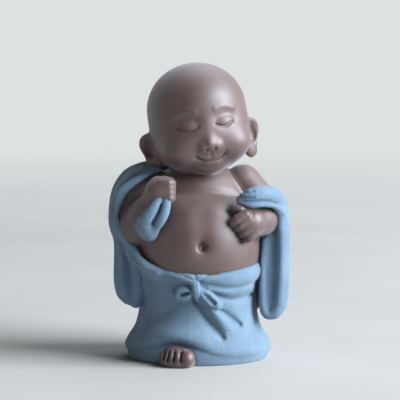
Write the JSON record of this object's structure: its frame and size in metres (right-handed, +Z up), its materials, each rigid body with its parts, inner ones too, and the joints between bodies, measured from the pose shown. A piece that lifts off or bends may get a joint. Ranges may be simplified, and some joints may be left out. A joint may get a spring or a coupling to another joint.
{
  "type": "laughing buddha statue",
  "caption": "Small standing monk figurine in purple clay with a bare round belly and a blue sand-glazed robe, hollow, closed below by a vented base slab; a tea-table or shelf ornament.",
  "frame": {"origin": "middle of the base on the ground plane, on the underside of the base slab", "axes": "+Z up, -Y out of the figure's front, +X to the figure's own left"},
  "size_m": [0.0617, 0.0499, 0.1003],
  "materials": {
    "clay": "unglazed purple-brown stoneware, smooth with a soft sheen",
    "glaze": "matt blue sand glaze, finely grained"
  },
  "bodies": {
    "root": {"head": "clay", "right_ear": "clay", "left_ear": "clay", "torso": "clay", "right_arm": "clay", "left_arm": "clay", "right_fist": "clay", "left_fist": "clay", "right_foot": "clay", "base_slab": "clay", "skirt": "glaze", "waist_roll": "glaze", "bow_knot": "glaze", "bow_right_loop": "glaze", "bow_left_loop": "glaze", "bow_tail": "glaze", "robe_back": "glaze", "right_sleeve": "glaze", "left_sleeve": "glaze", "left_cuff": "glaze", "hand_cloth": "glaze"}
  },
  "joints": []
}
